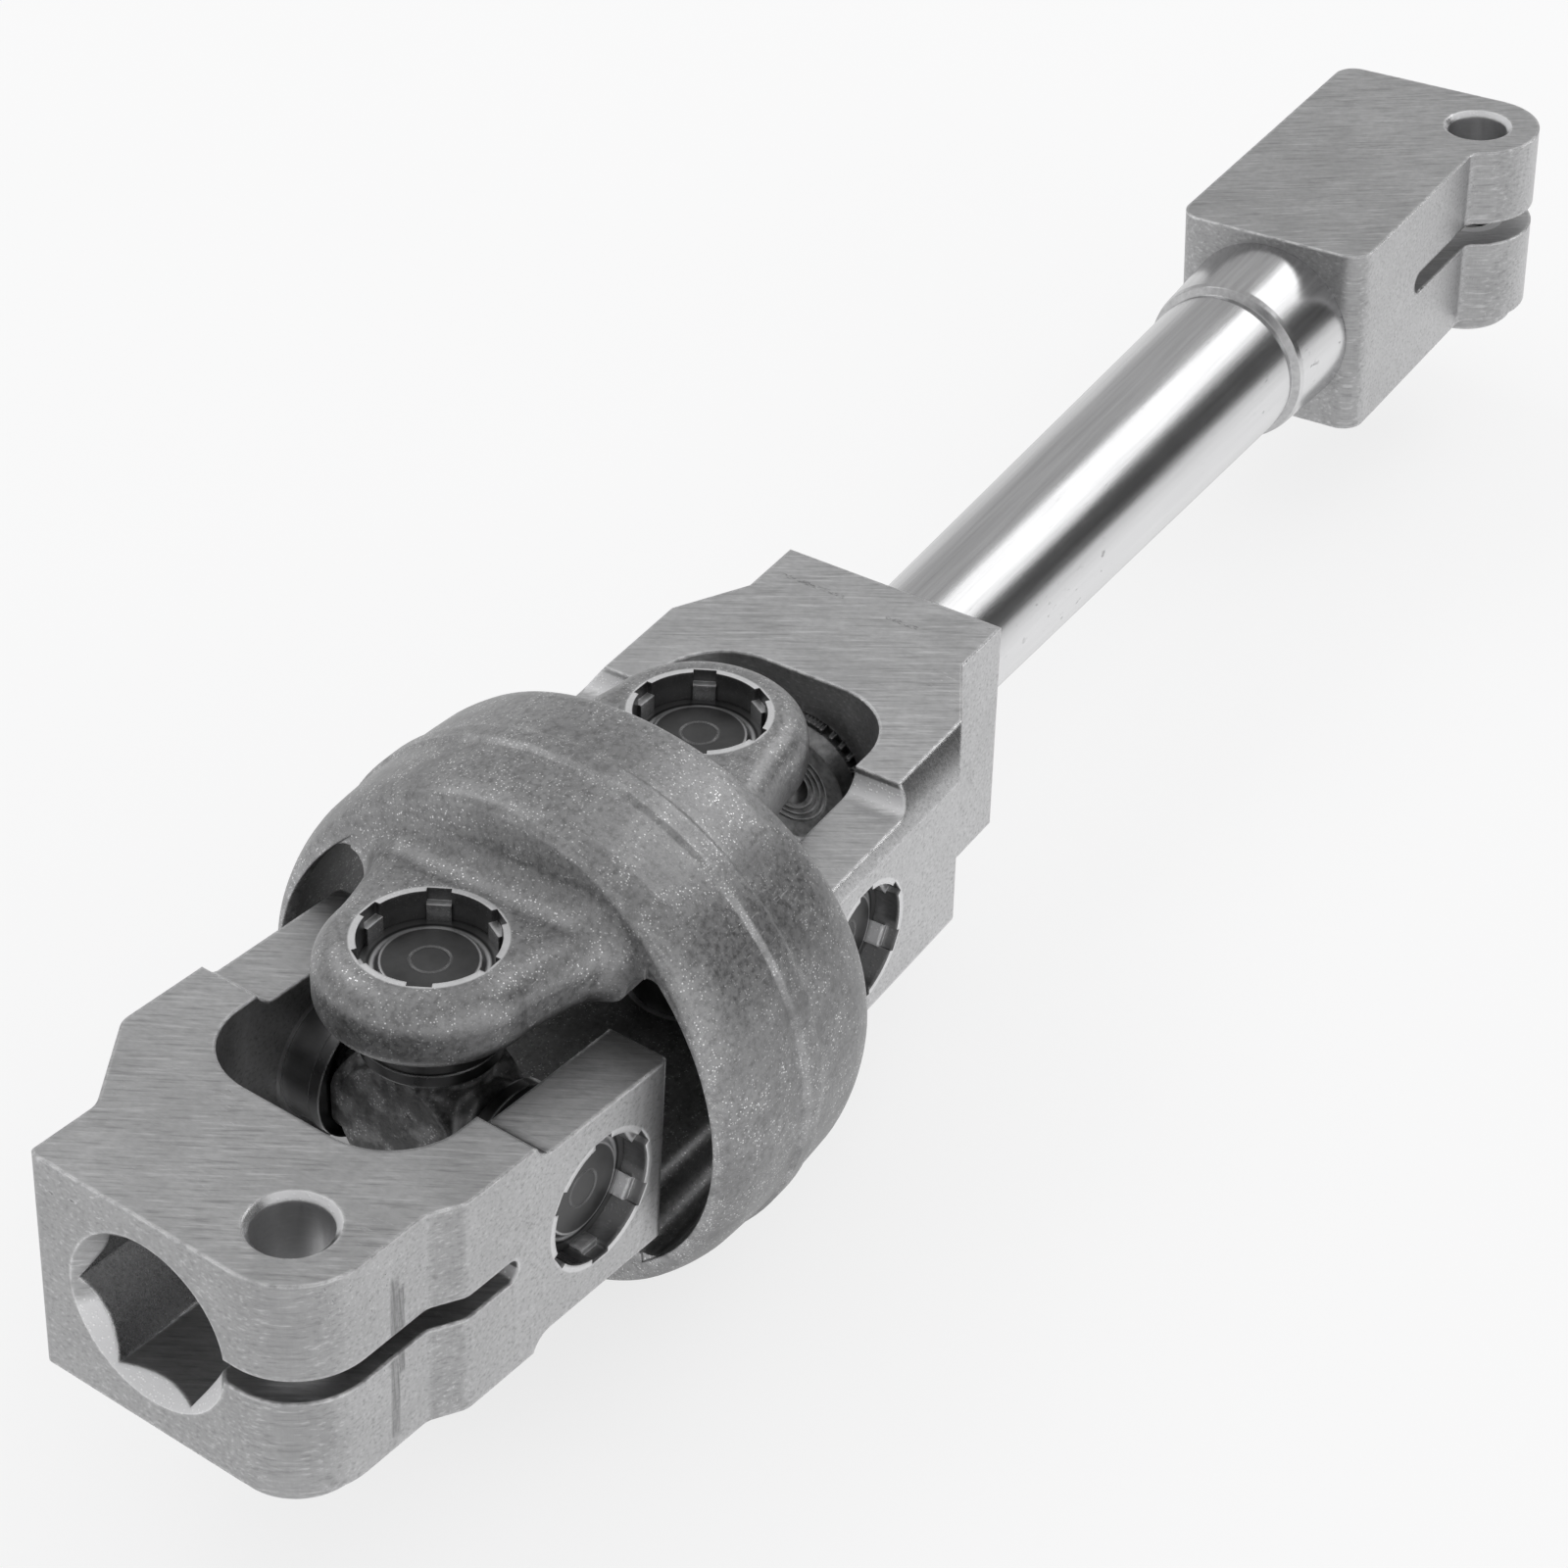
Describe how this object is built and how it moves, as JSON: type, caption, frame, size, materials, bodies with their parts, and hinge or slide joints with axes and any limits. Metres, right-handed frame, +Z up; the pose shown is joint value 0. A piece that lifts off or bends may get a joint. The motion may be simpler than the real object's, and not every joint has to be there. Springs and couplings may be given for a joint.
{
  "type": "intermediate steering shaft",
  "caption": "Steering shaft with a double universal joint: clamp yoke, forged ring yoke, crosses in staked needle cups, tapered shaft and split clamp block.",
  "frame": {"origin": "centre of the upper clamp bore's mouth, on the shaft axis", "axes": "+X along the shaft axis from the lower clamp to the upper one, +Z up, at right angles to the upper yoke's flat faces, +Y to the left, away from the clamp slits"},
  "size_m": [0.2915, 0.0642, 0.0642],
  "materials": {
    "machined_aluminium": "satin machined with fine grain",
    "forged_steel": "tumbled forging, grey",
    "polished_steel": "polished",
    "bearing_steel": "ground",
    "dark_steel": "blackened",
    "seal_rubber": "matt"
  },
  "bodies": {
    "upper": {"upper_yoke": "machined_aluminium", "shaft": "polished_steel", "upper_clamp": "machined_aluminium", "upper_cup_left": "bearing_steel", "upper_needles_left": "bearing_steel", "upper_cup_right": "bearing_steel", "upper_needles_right": "bearing_steel"},
    "upper_cross": {"upper_cross": "dark_steel", "far_seal_top": "seal_rubber", "far_shell_top": "dark_steel", "far_seal_bottom": "seal_rubber", "far_shell_bottom": "dark_steel", "upper_seal_left": "seal_rubber", "upper_shell_left": "dark_steel", "upper_seal_right": "seal_rubber", "upper_shell_right": "dark_steel"},
    "centre": {"centre_yoke": "forged_steel", "near_cup_top": "bearing_steel", "near_needles_top": "bearing_steel", "near_cup_bottom": "bearing_steel", "near_needles_bottom": "bearing_steel", "far_cup_top": "bearing_steel", "far_needles_top": "bearing_steel", "far_cup_bottom": "bearing_steel", "far_needles_bottom": "bearing_steel"},
    "lower_cross": {"lower_cross": "dark_steel", "lower_seal_left": "seal_rubber", "lower_shell_left": "dark_steel", "lower_seal_right": "seal_rubber", "lower_shell_right": "dark_steel", "near_seal_top": "seal_rubber", "near_shell_top": "dark_steel", "near_seal_bottom": "seal_rubber", "near_shell_bottom": "dark_steel"},
    "lower": {"lower_yoke": "machined_aluminium", "lower_cup_left": "bearing_steel", "lower_needles_left": "bearing_steel", "lower_cup_right": "bearing_steel", "lower_needles_right": "bearing_steel"}
  },
  "joints": [
    {"name": "upper_cross_swing", "type": "hinge", "parent": "upper", "child": "upper_cross", "pos_m": [-0.1986, 0, 0], "axis": [0, 1, 0], "range_deg": [-20.35, 15.65]},
    {"name": "centre_swing", "type": "hinge", "parent": "upper_cross", "child": "centre", "pos_m": [-0.1986, 0, 0], "axis": [0.041, 0, 0.9992], "range_deg": [-17.29, 18.71]},
    {"name": "lower_cross_swing", "type": "hinge", "parent": "centre", "child": "lower_cross", "pos_m": [-0.24736, 0.0006, 0.002], "axis": [0.041, 0, 0.9992], "range_deg": [-14.59, 21.41]},
    {"name": "lower_swing", "type": "hinge", "parent": "lower_cross", "child": "lower", "pos_m": [-0.24736, 0.0006, 0.002], "axis": [0.0718, 0.9974, -0.0029], "range_deg": [-19.76, 16.24]}
  ]
}
